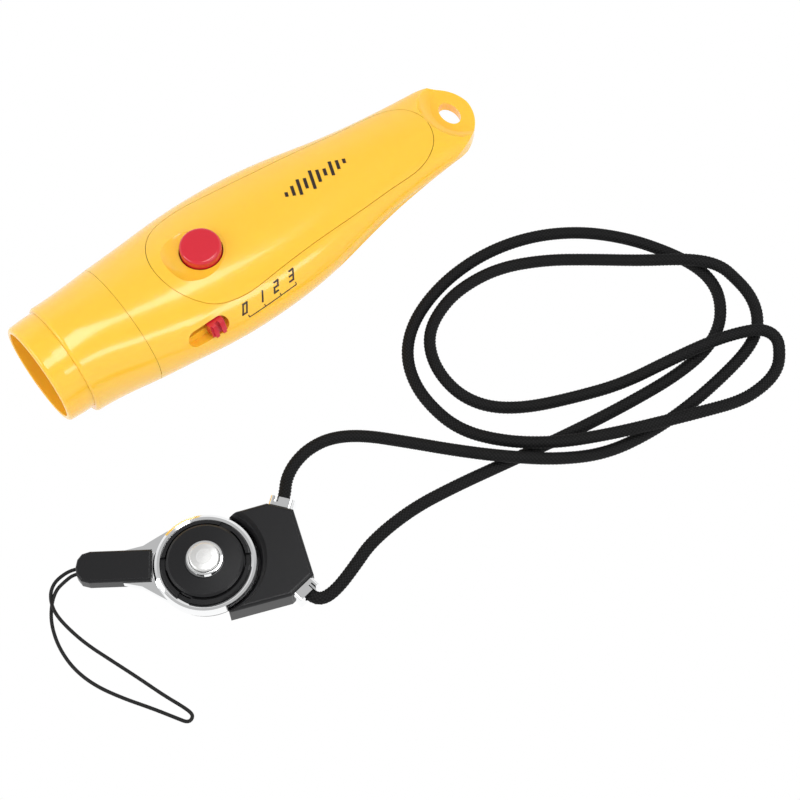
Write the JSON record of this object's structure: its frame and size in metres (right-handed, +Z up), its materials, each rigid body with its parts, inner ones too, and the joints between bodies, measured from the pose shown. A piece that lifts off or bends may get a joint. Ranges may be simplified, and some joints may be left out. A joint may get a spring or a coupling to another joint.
{
  "type": "electronic training whistle with lanyard",
  "caption": "Handheld electronic training whistle with a push button, a slide selector, an open sound mouth and a lanyard eye, with a quick-release neck lanyard beside it.",
  "frame": {"origin": "centre of the whistle's underside, on the table", "axes": "+X from the mouth to the lanyard eye, +Z up through the push button"},
  "size_m": [0.2014, 0.1344, 0.0299],
  "materials": {
    "yellow_shell": "gloss, injection moulded",
    "red_plastic": "gloss",
    "dark_plastic": "matte",
    "soft_rubber": "soft",
    "steel": "plain",
    "lead_insulation": "flexible PVC",
    "board_green": "solder resist",
    "battery_wrap": "printed wrap",
    "black_plastic": "fine satin",
    "bright_chrome": "polished plating",
    "satin_metal": "satin plating",
    "black_cord": "tight round braid"
  },
  "bodies": {
    "housing": {"nose_ring": "yellow_shell", "front_cap": "yellow_shell", "lower_shell": "yellow_shell", "top_cover": "yellow_shell", "horn_cone": "yellow_shell", "speaker_guard": "dark_plastic", "speaker_gasket": "soft_rubber", "speaker_driver": "steel", "speaker_leads": "lead_insulation", "circuit_board": "board_green", "board_components": "dark_plastic", "tact_switch": "dark_plastic", "slide_switch_can": "steel", "battery_tray": "dark_plastic", "batteries": "battery_wrap", "battery_springs": "steel", "battery_contacts": "steel", "case_screws": "steel"},
    "sound_button": {"push_button": "red_plastic", "tact_plunger": "dark_plastic"},
    "selector": {"slide_knob": "red_plastic", "slide_switch_slider": "dark_plastic"},
    "door": {"battery_door": "yellow_shell", "door_screw": "steel"},
    "lanyard": {"clamp_lower": "black_plastic", "clamp_upper": "black_plastic", "cord_ferrules": "bright_chrome", "hub_disc": "black_plastic", "button_collar": "bright_chrome", "release_spring": "steel", "neck_cord": "black_cord"},
    "release": {"release_button": "satin_metal"},
    "liner": {"liner_ring": "black_plastic"},
    "ring": {"clasp_ring": "bright_chrome", "tag_lower": "black_plastic", "tag_upper": "black_plastic", "tag_pin": "steel", "loop_cord": "black_cord"}
  },
  "joints": [
    {"name": "button_press", "type": "slide", "parent": "housing", "child": "sound_button", "axis": [0, 0, -1], "range_m": [0, 0.0008], "stiffness_N_per_m": 1500},
    {"name": "selector_slide", "type": "slide", "parent": "housing", "child": "selector", "axis": [-1, 0, 0], "range_m": [0, 0.0051]},
    {"name": "door_off", "type": "slide", "parent": "housing", "child": "door", "axis": [0, 0, -1], "range_m": [0, 0.02]},
    {"name": "lanyard_lift", "type": "slide", "parent": "housing", "child": "lanyard", "axis": [0, 0, 1], "range_m": [0, 0.06]},
    {"name": "release_press", "type": "slide", "parent": "lanyard", "child": "release", "axis": [0, 0, -1], "range_m": [0, 0.001], "stiffness_N_per_m": 1500, "deforming": ["release_spring"]},
    {"name": "liner_off", "type": "slide", "parent": "lanyard", "child": "liner", "axis": [0, 0, 1], "range_m": [0, 0.015]},
    {"name": "ring_turn", "type": "hinge", "parent": "liner", "child": "ring", "pos_m": [-0.0647, -0.0633, 0.003], "axis": [0, 0, 1], "range_deg": [-70, 40]}
  ]
}
